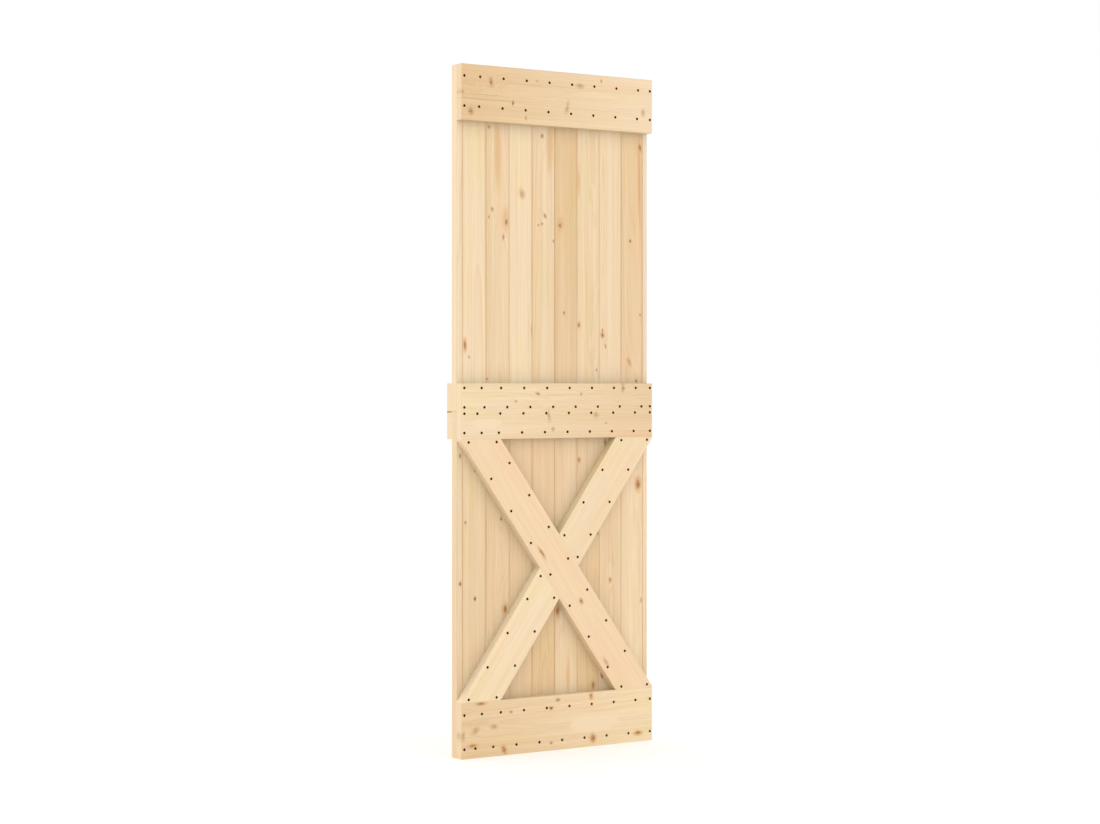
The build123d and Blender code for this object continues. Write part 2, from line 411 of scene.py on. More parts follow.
class PineSettings(bpy.types.PropertyGroup):
    """Colours and grain of the pine."""

    bright: bpy.props.FloatVectorProperty(
        name="Bright",
        description="Colour of the brightest pieces",
        subtype="COLOR",
        default=paint(250, 226, 189),
    )
    pale: bpy.props.FloatVectorProperty(
        name="Pale",
        description="Colour of the pale sapwood boards",
        subtype="COLOR",
        default=paint(247, 222, 185),
    )
    cream: bpy.props.FloatVectorProperty(
        name="Cream",
        description="Colour of the creamy strip at the right edge",
        subtype="COLOR",
        default=paint(244, 222, 194),
    )
    light: bpy.props.FloatVectorProperty(
        name="Light",
        description="Colour of the common boards",
        subtype="COLOR",
        default=paint(243, 216, 178),
    )
    rosy: bpy.props.FloatVectorProperty(
        name="Rosy",
        description="Colour of the full brace",
        subtype="COLOR",
        default=paint(248, 218, 179),
    )
    soft: bpy.props.FloatVectorProperty(
        name="Soft",
        description="Colour between the common and the darker boards",
        subtype="COLOR",
        default=paint(240, 210, 171),
    )
    tan: bpy.props.FloatVectorProperty(
        name="Tan",
        description="Colour of the darker heartwood boards",
        subtype="COLOR",
        default=paint(237, 206, 164),
    )
    honey: bpy.props.FloatVectorProperty(
        name="Honey",
        description="Colour of the orange ends of rails and boards",
        subtype="COLOR",
        default=paint(233, 198, 152),
    )
    late_wood: bpy.props.FloatVectorProperty(
        name="Late Wood",
        description="What the dark line of each growth ring multiplies the wood colour by",
        subtype="COLOR",
        default=(0.80, 0.66, 0.48),
    )
    core_colour: bpy.props.FloatVectorProperty(
        name="Core Colour",
        description="Colour at the middle of a knot",
        subtype="COLOR",
        default=paint(118, 66, 28),
    )
    halo_colour: bpy.props.FloatVectorProperty(
        name="Halo Colour",
        description="Brown stain round a knot",
        subtype="COLOR",
        default=paint(196, 152, 104),
    )
    blush_colour: bpy.props.FloatVectorProperty(
        name="Blush Colour",
        description="Orange stain of resin beside a knot",
        subtype="COLOR",
        default=paint(229, 177, 118),
    )
    ring_contrast: bpy.props.FloatProperty(
        name="Ring Contrast",
        description="How strongly the growth rings show",
        default=0.27,
        min=0.0,
        max=1.0,
        subtype="FACTOR",
    )
    streak_strength: bpy.props.FloatProperty(
        name="Streak Strength",
        description="How strongly the long streaks vary in brightness",
        default=0.3,
        min=0.0,
        max=1.0,
        subtype="FACTOR",
    )
    edge_radius: bpy.props.FloatProperty(
        name="Edge Radius",
        description="Softening of the sawn edges",
        default=1.2 * MM,
        min=0.0,
        unit="LENGTH",
    )
    # Reach of the painted shade that darkens the wood in inner corners between pieces
    painted_shade_reach: bpy.props.FloatProperty(
        name="Painted Shade Reach",
        description="How far the painted shade reaches out of a corner between pieces",
        default=60 * MM,
        min=0.0,
        unit="LENGTH",
    )


class ScrewSettings(bpy.types.PropertyGroup):
    """Sizes and colour of the countersunk screws."""

    head_radius: bpy.props.FloatProperty(
        name="Head Radius",
        description="Radius of the round head, just over its countersink",
        default=4.25 * MM,
        unit="LENGTH",
    )
    head_depth: bpy.props.FloatProperty(
        name="Head Depth",
        description="Depth of the tapered head",
        default=2.6 * MM,
        unit="LENGTH",
    )
    head_lift: bpy.props.FloatProperty(
        name="Head Lift",
        description="How far the head stands over the wood",
        default=0.05 * MM,
        unit="LENGTH",
    )
    shank_radius: bpy.props.FloatProperty(
        name="Shank Radius",
        description="Radius of the shank in the wood",
        default=2.0 * MM,
        unit="LENGTH",
    )
    point_length: bpy.props.FloatProperty(
        name="Point Length",
        description="Length of the pointed tip",
        default=5 * MM,
        unit="LENGTH",
    )
    recess_span: bpy.props.FloatProperty(
        name="Recess Span",
        description="Length of each arm of the cross recess, end to end",
        default=4.6 * MM,
        unit="LENGTH",
    )
    recess_width: bpy.props.FloatProperty(
        name="Recess Width",
        description="Width of each arm of the cross recess",
        default=1.1 * MM,
        unit="LENGTH",
    )
    recess_depth: bpy.props.FloatProperty(
        name="Recess Depth",
        description="Depth of the cross recess",
        default=1.6 * MM,
        unit="LENGTH",
    )
    head_colour: bpy.props.FloatVectorProperty(
        name="Head Colour",
        description="Dark bronze coating of the screws",
        subtype="COLOR",
        default=paint(74, 32, 0),
    )
    turn_seed: bpy.props.IntProperty(
        name="Turn Seed",
        description="Seed for how far each screw is turned",
        default=11,
    )


class StageSettings(bpy.types.PropertyGroup):
    """Camera, floor and light."""

    camera_place: bpy.props.FloatVectorProperty(
        name="Camera Place",
        description="Where the camera stands",
        subtype="TRANSLATION",
        unit="LENGTH",
        default=(-3.9049, -5.9444, 1.1158),
    )
    camera_turn: bpy.props.FloatProperty(
        name="Camera Turn",
        description="Heading of the level camera, from straight at the leaf's front",
        subtype="ANGLE",
        default=math.radians(-33.2568),
    )
    lens: bpy.props.FloatProperty(
        name="Lens",
        description="Focal length in mm on a 36 mm wide sensor",
        default=75.47,
    )
    rise: bpy.props.FloatProperty(
        name="Rise",
        description="Vertical lens shift that frames the leaf as photographed",
        default=-0.0236,
    )
    sky: bpy.props.FloatProperty(
        name="Sky",
        description="Strength of the even light from all round",
        default=1.685,
        min=0.0,
    )
    overhead: bpy.props.FloatProperty(
        name="Overhead",
        description="Share of that light that comes from straight above",
        default=0.45,
        min=0.0,
        max=1.0,
        subtype="FACTOR",
    )
    square_on: bpy.props.FloatProperty(
        name="Square On",
        description="Share of that light that comes from straight before and behind the leaf",
        default=0.707,
        min=0.0,
        max=1.0,
        subtype="FACTOR",
    )
    right_lamp: bpy.props.FloatProperty(
        name="Right Lamp",
        description="Power of the soft light from the right, in watts",
        default=6.0,
        min=0.0,
    )
    floor_size: bpy.props.FloatProperty(
        name="Floor Size",
        description="Width of the floor",
        default=60.0,
        unit="LENGTH",
    )
    floor_lift: bpy.props.FloatProperty(
        name="Floor Lift",
        description="Brightness added to the floor as the camera sees it",
        default=0.22,
        min=0.0,
    )


def add_node(tree, kind, **settings):
    """Add a node to a tree, placed in rows, with its settings."""
    node = tree.nodes.new(kind)
    row, column = divmod(len(tree.nodes) - 1, NODES_IN_ROW)
    node.location = (NODE_STEP[0] * column, -NODE_STEP[1] * row)
    for name, value in settings.items():
        setattr(node, name, value)
    return node


def feed(tree, socket, value):
    """Link a socket to an output, or set its value."""
    if isinstance(value, bpy.types.NodeSocket):
        tree.links.new(value, socket)
    elif socket.type == "RGBA" and len(value) == 3:
        socket.default_value = (*value, 1.0)
    else:
        socket.default_value = value


def feed_all(tree, node, values):
    """Feed several inputs of a node, each by its name."""
    for label, value in values.items():
        feed(tree, node.inputs[label], value)


def calc(tree, operation, *values, clamp=False):
    """A maths node on outputs and numbers."""
    node = add_node(tree, "ShaderNodeMath", operation=operation, use_clamp=clamp)
    for socket, value in zip(node.inputs, values):
        feed(tree, socket, value)
    return node.outputs[0]


def vector_calc(tree, operation, *values):
    """A vector maths node; gives its vector, or its number for a dot product."""
    node = add_node(tree, "ShaderNodeVectorMath", operation=operation)
    for socket, value in zip(node.inputs, values):
        feed(tree, socket, value)
    return node.outputs["Value" if operation == "DOT_PRODUCT" else "Vector"]


def axes(tree, vector):
    """X, Y and Z of a vector."""
    node = add_node(tree, "ShaderNodeSeparateXYZ")
    feed(tree, node.inputs[0], vector)
    return node.outputs


def distance(tree, first, second):
    """Length of two steps at right angles."""
    first_square = calc(tree, "MULTIPLY", first, first)
    return calc(tree, "SQRT", calc(tree, "MULTIPLY_ADD", second, second, first_square))


def swing(tree, value, amount):
    """Noise from 0 to 1 made to lie on both sides of nought, times an amount."""
    return calc(tree, "MULTIPLY", calc(tree, "SUBTRACT", value, 0.5), amount)


def weigh(tree, start, *terms):
    """A start value plus each term times its weight."""
    total = start
    for value, weight in terms:
        total = calc(tree, "MULTIPLY_ADD", value, weight, total)
    return total


def ramp(tree, value, start, end, low=0.0, high=1.0, smooth=True):
    """Value mapped from start..end to low..high, clamped."""
    kind = "SMOOTHSTEP" if smooth else "LINEAR"
    node = add_node(tree, "ShaderNodeMapRange", interpolation_type=kind)
    limits = {"From Min": start, "From Max": end, "To Min": low, "To Max": high}
    feed_all(tree, node, {"Value": value, **limits})
    return node.outputs["Result"]


def blend_colours(tree, factor, first, second, kind="MIX"):
    """Mix node on two colours."""
    node = add_node(tree, "ShaderNodeMix", data_type="RGBA", blend_type=kind)
    feed(tree, node.inputs[0], factor)
    feed(tree, node.inputs[6], first)
    feed(tree, node.inputs[7], second)
    return node.outputs[2]


def tint(tree, share, colour, other):
    """Colour multiplied by another one, as far as a share from 0 to 1 says."""
    return blend_colours(tree, share, colour, other, "MULTIPLY")


def noise(tree, place, scale, detail=2.0, roughness=0.5, seed=0.0):
    """Noise from 0 to 1 around 0.5, moved by a seed."""
    node = add_node(tree, "ShaderNodeTexNoise", noise_dimensions="4D")
    settings = {"Scale": scale, "Detail": detail, "Roughness": roughness}
    feed_all(tree, node, {"Vector": place, "W": seed, **settings})
    return node.outputs


def pattern(tree, name, place, seed):
    """One of the wood's noise patterns."""
    stretch, scale, detail, roughness = PATTERNS[name]
    stretched = vector_calc(tree, "MULTIPLY", place, stretch)
    return noise(tree, stretched, scale, detail, roughness, seed)


def shift(tree, name, place, seed):
    """One of the wood's noise patterns as a step on both sides of nought."""
    colour = pattern(tree, name, place, seed)["Color"]
    centred = vector_calc(tree, "SUBTRACT", colour, (0.5, 0.5, 0.5))
    return vector_calc(tree, "MULTIPLY", centred, SHIFTS[name])


def ring_noise(tree, year, scale, detail, seed):
    """Noise that changes from ring to ring."""
    outwards = add_node(tree, "ShaderNodeCombineXYZ")
    feed(tree, outwards.inputs["X"], year)
    return noise(tree, outwards.outputs[0], scale, detail, 0.5, seed)[0]


def new_group(name, inputs, outputs, kind="ShaderNodeTree"):
    """Node group whose sockets are named by kind; gives the tree, its inputs and its outputs."""
    tree = bpy.data.node_groups.new(name, kind)
    for way, sockets in (("INPUT", inputs), ("OUTPUT", outputs)):
        for socket_kind, labels in sockets.items():
            for label in labels:
                tree.interface.new_socket(label, in_out=way, socket_type=f"NodeSocket{socket_kind}")
    start = add_node(tree, "NodeGroupInput")
    end = add_node(tree, "NodeGroupOutput")
    return tree, start.outputs, end.inputs


def new_material(name):
    """Node material with only its output; gives the material, its tree and its surface socket."""
    material = bpy.data.materials.new(name)
    material.use_nodes = True
    tree = material.node_tree
    tree.nodes.clear()
    output = add_node(tree, "ShaderNodeOutputMaterial")
    return material, tree, output.inputs["Surface"]


def add_bump(tree, height, strength, depth):
    """Bump node on a height."""
    bump = add_node(tree, "ShaderNodeBump")
    feed_all(tree, bump, {"Height": height, "Strength": strength, "Distance": depth})
    return bump


def mark_group():
    """Group that adds one knot or stain to the marks so far, on a face with its grain along Z."""
    if "Pine Mark" in bpy.data.node_groups:
        return bpy.data.node_groups["Pine Mark"]
    strengths = (f"{part} Strength" for part in MARK_FADES)
    tree, given, made = new_group(
        "Pine Mark",
        {
            "Vector": ("Place", "Warp", "Middle"),
            "Float": ("Tilt", "Radius", "Stretch", *strengths, *MARK_CHANNELS),
        },
        {"Float": MARK_CHANNELS},
    )
    turned = add_node(tree, "ShaderNodeVectorRotate", rotation_type="Y_AXIS")
    pose = {"Vector": given["Place"], "Center": given["Middle"], "Angle": given["Tilt"]}
    feed_all(tree, turned, pose)
    offset = vector_calc(tree, "SUBTRACT", turned.outputs[0], given["Middle"])
    flat = vector_calc(tree, "MULTIPLY", offset, (1.0, 0.0, 1.0))
    scaled = add_node(tree, "ShaderNodeVectorMath", operation="SCALE")
    feed(tree, scaled.inputs[0], flat)
    feed(tree, scaled.inputs["Scale"], calc(tree, "DIVIDE", 1.0, given["Radius"]))
    bent = axes(tree, vector_calc(tree, "ADD", scaled.outputs[0], given["Warp"]))
    across = bent["X"]
    along = calc(tree, "DIVIDE", bent["Z"], given["Stretch"])

    reach = distance(tree, across, along)
    wave = calc(tree, "SINE", calc(tree, "MULTIPLY", reach, KNOT_WAVES))
    rings = calc(tree, "MULTIPLY_ADD", wave, KNOT_WAVE_HEIGHT, 1.0 - KNOT_WAVE_HEIGHT)
    for part, (start, end) in MARK_FADES.items():
        share = ramp(tree, reach, start, end, 1.0, 0.0)
        share = calc(tree, "MULTIPLY", share, given[f"{part} Strength"])
        if part == "Core":
            share = calc(tree, "MULTIPLY", share, rings)
        feed(tree, made[part], calc(tree, "MAXIMUM", share, given[part]))

    wide = distance(tree, across, calc(tree, "MULTIPLY", along, BULGE_ALONG))
    bulge = calc(tree, "MULTIPLY", ramp(tree, wide, 0.0, BULGE_REACH, 1.0, 0.0), given["Radius"])
    bulge = calc(tree, "MULTIPLY", bulge, given["Core Strength"])
    feed(tree, made["Bulge"], calc(tree, "ADD", bulge, given["Bulge"]))
    return tree


def pine_group():
    """Group for pine with its grain along Z: growth rings round a pith, fibres, streaks, stains, dust
    in the joints and painted shade in inner corners.
    """
    if "Pine Grain" in bpy.data.node_groups:
        return bpy.data.node_groups["Pine Grain"]
    rings = ("Seed", "Ring Spacing", "Ring Contrast", "Pith Across", "Pith Depth", "Pith Lean")
    surroundings = ("Length", "Near Joint", "Far Joint", "Open", "Painted Shade Share", "End Grain")
    mark_colours = (f"{part} Colour" for part in MARK_FADES)
    tree, given, made = new_group(
        "Pine Grain",
        {
            "Vector": ("Place",),
            "Float": (*rings, "Streak Strength", *surroundings, *MARK_CHANNELS),
            "Color": ("Low Tone", "High Tone", "End Tone", "Late Wood", *mark_colours),
        },
        {"Color": ("Colour",), "Float": ("Roughness", "Height")},
    )
    place = given["Place"]
    seed = given["Seed"]
    where = axes(tree, place)

    grown = vector_calc(tree, "ADD", place, shift(tree, "sway", place, seed))
    grown = axes(tree, vector_calc(tree, "ADD", grown, shift(tree, "ripple", place, seed)))
    across = calc(tree, "SUBTRACT", grown["X"], given["Pith Across"])
    lean = calc(tree, "MULTIPLY", grown["Z"], given["Pith Lean"])
    depth = calc(tree, "SUBTRACT", calc(tree, "SUBTRACT", grown["Y"], given["Pith Depth"]), lean)
    radius = weigh(tree, distance(tree, across, depth), (given["Bulge"], BULGE_PUSH))
    year = calc(tree, "DIVIDE", radius, given["Ring Spacing"])
    year = weigh(tree, year, (ring_noise(tree, year, 0.45, 1.0, seed), RING_DRIFT))
    phase = calc(tree, "FRACT", year)
    late = calc(tree, "MULTIPLY", ramp(tree, phase, 0.35, 0.9), ramp(tree, phase, 0.92, 1.0, 1.0, 0.0))
    strong = ring_noise(tree, calc(tree, "FLOOR", year), 0.8, 0.0, seed)
    late = calc(tree, "MULTIPLY", late, ramp(tree, strong, 0.32, 0.7, 0.35, 1.5, smooth=False))

    streak = pattern(tree, "streak", place, seed)[0]
    band = pattern(tree, "band", place, seed)[0]
    fibre = pattern(tree, "fibre", place, seed)[0]
    blotch = add_node(tree, "ShaderNodeSeparateColor")
    feed(tree, blotch.inputs[0], pattern(tree, "blotch", place, seed)["Color"])

    climb = calc(tree, "ADD", calc(tree, "DIVIDE", where["Z"], given["Length"]), 0.5, clamp=True)
    climb = calc(tree, "ADD", climb, swing(tree, band, 0.6), clamp=True)
    tone = blend_colours(tree, climb, given["Low Tone"], given["High Tone"])
    late_share = calc(tree, "MULTIPLY", late, given["Ring Contrast"], clamp=True)
    colour = tint(tree, late_share, tone, given["Late Wood"])
    colour = tint(tree, ramp(tree, band, 0.45, 0.75, 0.0, 0.5), colour, WARM_TINT)
    colour = tint(tree, ramp(tree, blotch.outputs[0], 0.5, 0.72), colour, PINK_TINT)
    colour = tint(tree, ramp(tree, blotch.outputs[1], 0.5, 0.72), colour, YELLOW_TINT)
    lift = calc(tree, "ADD", swing(tree, streak, given["Streak Strength"]), swing(tree, fibre, 0.16))
    lift_colour = add_node(tree, "ShaderNodeCombineColor")
    for socket, share in zip(lift_colour.inputs, LIFT_SHARES):
        feed(tree, socket, calc(tree, "MULTIPLY_ADD", lift, share, 1.0))
    colour = tint(tree, 1.0, colour, lift_colour.outputs[0])
    end_colour = blend_colours(tree, 0.6, colour, given["End Tone"])
    colour = blend_colours(tree, given["End Grain"], colour, end_colour)
    for part in reversed(MARK_FADES):
        colour = blend_colours(tree, given[part], colour, given[f"{part} Colour"])

    from_near = calc(tree, "SUBTRACT", where["X"], given["Near Joint"])
    from_far = calc(tree, "SUBTRACT", given["Far Joint"], where["X"])
    inside = calc(tree, "MINIMUM", from_near, from_far)
    uneven = ramp(tree, band, 0.35, 0.65, 0.5, 1.5)
    dust = calc(tree, "MULTIPLY", ramp(tree, inside, -0.5 * MM, 5 * MM, 0.1, 0.0), uneven)
    colour = tint(tree, dust, colour, DUST_TINT)
    # Painted shade: colour darkened in inner corners between pieces, as far as ambient occlusion finds
    # them closed in; faded out near the floor and kept out of the joints
    corner = ramp(tree, given["Open"], 0.45, 1.0, 1.0, 0.0, smooth=False)
    corner = calc(tree, "MULTIPLY", corner, given["Painted Shade Share"])
    corner = calc(tree, "MULTIPLY", corner, ramp(tree, inside, -0.4 * MM, 0.2 * MM))
    feed(tree, made["Colour"], tint(tree, corner, colour, PAINTED_SHADE_TINT))

    ends = given["End Grain"]
    core = given["Core"]
    rough = weigh(tree, 0.53, (late, -0.10), (fibre, 0.18), (ends, 0.12), (core, -0.14))
    feed(tree, made["Roughness"], rough)
    feed(tree, made["Height"], weigh(tree, 0.0, (late, 0.45), (fibre, 0.55), (core, 0.6)))
    return tree


def joints(name, turn):
    """Ends of an upright board's front face, from its middle, where another board joins it."""
    low, high, middle = span(name)
    face = [v.co.x - middle.x for v in nodes[name].data.vertices if v.co.y < low.y + FACE_SLACK]
    board = turn == UPRIGHT
    near = min(face) if board and low.x > cad_box[0][0] + MM else -NO_JOINT
    far = max(face) if board and high.x < cad_box[1][0] - MM else NO_JOINT
    return near, far


def add_marks(tree, name, turn, place, warp):
    """Chain of a piece's knots and stains; gives the last one's outputs by name."""
    middle = span(name)[2]
    to_grain = Euler((0.0, turn, 0.0)).to_matrix().inverted()
    marks = {}
    for kind, x, z, radius, stretch, tilt in MARKS.get(name, []):
        mark = add_node(tree, "ShaderNodeGroup", node_tree=mark_group())
        traits = {
            "Place": place,
            "Warp": warp,
            "Middle": to_grain @ (Vector((x * MM, middle.y, z * MM)) - middle),
            "Tilt": math.radians(tilt),
            "Radius": radius * MM,
            "Stretch": stretch,
        }
        for part, strength in zip(MARK_FADES, MARK_KINDS[kind]):
            traits[f"{part} Strength"] = strength
        feed_all(tree, mark, {**traits, **marks})
        marks = {output.name: output for output in mark.outputs}
    return marks


def pine_material(name, turn, rings, tones, settings):
    """Pine for one piece, with its own rings, tones and knots, its grain turned with the piece."""
    low, high, middle = span(name)
    dice = random.Random(name)
    material, tree, surface = new_material(f"Pine {name.replace('_', ' ')}")

    coordinates = add_node(tree, "ShaderNodeTexCoord").outputs["Object"]
    mapping = add_node(tree, "ShaderNodeMapping", vector_type="TEXTURE")
    pose = {"Vector": coordinates, "Location": middle, "Rotation": (0.0, turn, 0.0)}
    feed_all(tree, mapping, pose)
    place = mapping.outputs["Vector"]
    warp = shift(tree, "warp", place, dice.uniform(0.0, 90.0))
    marks = add_marks(tree, name, turn, place, warp)

    normal = add_node(tree, "ShaderNodeNewGeometry").outputs["Normal"]
    grain_way = Euler((0.0, turn, 0.0)).to_matrix() @ Vector((0.0, 0.0, 1.0))
    facing = calc(tree, "ABSOLUTE", vector_calc(tree, "DOT_PRODUCT", normal, grain_way))
    # Ambient occlusion, which sets where the painted shade of inner corners darkens the wood
    open_share = add_node(tree, "ShaderNodeAmbientOcclusion", samples=6)
    open_share.inputs["Distance"].default_value = settings.painted_shade_reach

    size = high - low
    near_joint, far_joint = joints(name, turn)
    traits = {
        "Place": place,
        "Seed": dice.uniform(0.0, 90.0),
        "Ring Spacing": dice.uniform(3.0, 5.5) * MM,
        "Pith Across": dice.uniform(-32.0, 32.0) * MM,
        "Pith Depth": dice.choice((-1, 1)) * dice.uniform(28.0, 75.0) * MM,
        "Pith Lean": dice.uniform(-0.016, 0.016),
        "Ring Contrast": settings.ring_contrast * rings,
        "Streak Strength": settings.streak_strength * (0.4 + 0.6 * rings),
        "Length": size.x if turn == LEVEL else size.z / math.cos(turn),
        "Near Joint": near_joint,
        "Far Joint": far_joint,
        "Open": open_share.outputs["AO"],
        # Painted shade of inner corners, faded out towards the floor
        "Painted Shade Share": ramp(tree, axes(tree, coordinates)["Z"], *PAINTED_SHADE_HEIGHTS),
        "End Grain": ramp(tree, facing, 0.5, 0.8),
        "Low Tone": getattr(settings, tones[0]),
        "High Tone": getattr(settings, tones[1]),
        "End Tone": settings.pale,
        "Late Wood": settings.late_wood,
        "Core Colour": settings.core_colour,
        "Halo Colour": settings.halo_colour,
        "Blush Colour": settings.blush_colour,
        "Clear Colour": settings.bright,
    }
    grain = add_node(tree, "ShaderNodeGroup", node_tree=pine_group())
    feed_all(tree, grain, {**traits, **marks})

    soft_edge = add_node(tree, "ShaderNodeBevel", samples=4)
    soft_edge.inputs["Radius"].default_value = settings.edge_radius
    bump = add_bump(tree, grain.outputs["Height"], 0.35, 0.25 * MM)
    feed(tree, bump.inputs["Normal"], soft_edge.outputs["Normal"])

    shader = add_node(tree, "ShaderNodeBsdfPrincipled")
    shader.inputs["Specular IOR Level"].default_value = 0.35
    feed(tree, shader.inputs["Base Color"], grain.outputs["Colour"])
    feed(tree, shader.inputs["Roughness"], grain.outputs["Roughness"])
    feed(tree, shader.inputs["Normal"], bump.outputs["Normal"])
    feed(tree, surface, shader.outputs["BSDF"])
    return material


def dress(name, turn, rings, tones, settings):
    """Give a CAD node its own pine."""
    node = nodes[name]
    if not node.material_slots:
        raise RuntimeError(f"{name} has no material slot")
    material = pine_material(name, turn, rings, tones, settings)
    for slot in node.material_slots:
        slot.material = material


def screw_material(settings):
    """Dark bronze coating, slightly worn and uneven."""
    material, tree, surface = new_material("Bronze Screw Coating")
    place = add_node(tree, "ShaderNodeTexCoord").outputs["Object"]
    blotch = noise(tree, place, 900.0, 3.0, 0.6)[0]
    patch = noise(tree, place, 60.0, 1.0, 0.5)[0]
    dark = settings.head_colour
    worn = tuple(min(1.0, c * WORN_BRIGHTNESS) for c in dark)
    patchy = ramp(tree, patch, 0.35, 0.7, 0.3, 1.0)
    share = calc(tree, "MULTIPLY", ramp(tree, blotch, 0.45, 0.72), patchy)
    shader = add_node(tree, "ShaderNodeBsdfPrincipled")
    shader.inputs["Metallic"].default_value = 0.1
    shader.inputs["Specular IOR Level"].default_value = 0.04
    feed(tree, shader.inputs["Base Color"], blend_colours(tree, share, dark, worn))
    feed(tree, shader.inputs["Roughness"], ramp(tree, blotch, 0.3, 0.7, 0.5, 0.7))
    feed(tree, shader.inputs["Normal"], add_bump(tree, blotch, 0.2, 0.05 * MM).outputs["Normal"])
    feed(tree, surface, shader.outputs["BSDF"])
    return material


def screw_tree():
    """Geometry Nodes tree that sets a countersunk screw on each point, each turned its own way."""
    tree, given, made = new_group(
        "Screw Rows",
        {
            "Geometry": ("Geometry",),
            "Float": ("Screw Length", *SCREW_SIZES),
            "Int": ("Turn Seed",),
            "Material": ("Coating",),
        },
        {"Geometry": ("Geometry",)},
        "GeometryNodeTree",
    )

    def moved(geometry, z):
        """Geometry moved along the screw's own axis."""
        offset = add_node(tree, "ShaderNodeCombineXYZ")
        feed(tree, offset.inputs["Z"], z)
        mover = add_node(tree, "GeometryNodeTransform")
        feed_all(tree, mover, {"Geometry": geometry, "Translation": offset.outputs[0]})
        return mover.outputs[0]

    def taper(sides, near, far, depth):
        """Tapered solid from z 0 to its depth."""
        cone = add_node(tree, "GeometryNodeMeshCone")
        sizes = {"Radius Bottom": near, "Radius Top": far, "Depth": depth}
        feed_all(tree, cone, {"Vertices": sides, **sizes})
        return cone.outputs["Mesh"]

    def arm(across, along):
        """One arm of the cross recess, centred on the head's face."""
        size = add_node(tree, "ShaderNodeCombineXYZ")
        both_ways = calc(tree, "MULTIPLY", given["Recess Depth"], 2.0)
        feed_all(tree, size, {"X": across, "Y": along, "Z": both_ways})
        block = add_node(tree, "GeometryNodeMeshCube")
        feed(tree, block.inputs["Size"], size.outputs[0])
        return block.outputs["Mesh"]

    shank_radius = given["Shank Radius"]
    head = taper(HEAD_SIDES, given["Head Radius"], shank_radius, given["Head Depth"])
    cut = add_node(tree, "GeometryNodeMeshBoolean", operation="DIFFERENCE")
    feed(tree, cut.inputs["Mesh 1"], head)
    feed(tree, cut.inputs["Mesh 2"], arm(given["Recess Span"], given["Recess Width"]))
    feed(tree, cut.inputs["Mesh 2"], arm(given["Recess Width"], given["Recess Span"]))
    shank_end = calc(tree, "SUBTRACT", given["Screw Length"], given["Point Length"])
    shank_run = calc(tree, "SUBTRACT", shank_end, given["Head Depth"])
    shank = moved(taper(SHANK_SIDES, shank_radius, shank_radius, shank_run), given["Head Depth"])
    point = moved(taper(SHANK_SIDES, shank_radius, 0.0, given["Point Length"]), shank_end)
    whole = add_node(tree, "GeometryNodeJoinGeometry")
    for geometry in (cut.outputs["Mesh"], shank, point):
        feed(tree, whole.inputs[0], geometry)
    lifted = moved(whole.outputs[0], calc(tree, "MULTIPLY", given["Head Lift"], -1.0))

    turn = add_node(tree, "FunctionNodeRandomValue", data_type="FLOAT")
    turn.inputs[2].default_value = 0.0
    turn.inputs[3].default_value = 2 * math.pi
    feed(tree, turn.inputs["Seed"], given["Turn Seed"])
    angles = add_node(tree, "ShaderNodeCombineXYZ")
    feed_all(tree, angles, {"X": -QUARTER_TURN, "Y": turn.outputs[1]})
    rotation = add_node(tree, "FunctionNodeEulerToRotation")
    feed(tree, rotation.inputs[0], angles.outputs[0])
    placed = add_node(tree, "GeometryNodeInstanceOnPoints")
    screws = {"Points": given["Geometry"], "Instance": lifted, "Rotation": rotation.outputs[0]}
    feed_all(tree, placed, screws)
    real = add_node(tree, "GeometryNodeRealizeInstances")
    feed(tree, real.inputs[0], placed.outputs[0])
    coated = add_node(tree, "GeometryNodeSetMaterial")
    feed_all(tree, coated, {"Geometry": real.outputs[0], "Material": given["Coating"]})
    feed(tree, made["Geometry"], coated.outputs[0])
    return tree


def head_centres(name):
    """Middles of a CAD group's screw heads, from their corners in the wood's front face."""
    corners = {}
    for vertex in nodes[name].data.vertices:
        if vertex.co.y < FRONT_FACE + FACE_SLACK:
            corners[tuple(round(c / MM, 2) for c in vertex.co)] = vertex.co.copy()
    heads = []
    for corner in corners.values():
        for head in heads:
            if (head[0] - corner).length < HEAD_REACH:
                head.append(corner)
                break
        else:
            heads.append([corner])
    if len(heads) != SCREW_COUNTS[name]:
        raise RuntimeError(f"{name} shows {len(heads)} heads")
    return [sum(head, Vector()) / len(head) for head in heads]


def set_screws(name, tree, material, settings, seed):
    """Round countersunk screws in place of one CAD group of six-sided ones."""
    low, high = span(name)[:2]
    points = bpy.data.meshes.new(f"{name}_points")
    points.from_pydata([tuple(centre) for centre in head_centres(name)], [], [])
    carrier = bpy.data.objects.new(f"{name}_points", points)
    bpy.context.scene.collection.objects.link(carrier)
    rows = carrier.modifiers.new("Screw Rows", "NODES")
    rows.node_group = tree
    sizes = {label: getattr(settings, label.lower().replace(" ", "_")) for label in SCREW_SIZES}
    sizes["Screw Length"] = high.y - low.y
    sizes["Turn Seed"] = seed
    sizes["Coating"] = material
    for item in tree.interface.items_tree:
        if item.in_out == "INPUT" and item.name in sizes:
            rows[item.identifier] = sizes[item.name]
    depsgraph = bpy.context.evaluated_depsgraph_get()
    mesh = bpy.data.meshes.new_from_object(carrier.evaluated_get(depsgraph))
    if len(mesh.polygons) < LEAST_SCREW_FACES * SCREW_COUNTS[name]:
        raise RuntimeError(f"{name} came out with {len(mesh.polygons)} faces")
    bpy.data.objects.remove(carrier)
    piece = bpy.data.objects.new(name.replace("_screws", "_countersunk_screws"), mesh)
    bpy.context.scene.collection.objects.link(piece)
    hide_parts(name)
    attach(piece, "root")


def soft_lamp(name, place, target, width, power):
    """Square area lamp that faces a point."""
    light = bpy.data.lights.new(name, "AREA")
    light.shape = "SQUARE"
    light.size = width
    light.energy = power
    lamp = bpy.data.objects.new(name, light)
    lamp.location = place
    lamp.rotation_euler = (Vector(target) - Vector(place)).to_track_quat("-Z", "Y").to_euler()
    bpy.context.scene.collection.objects.link(lamp)


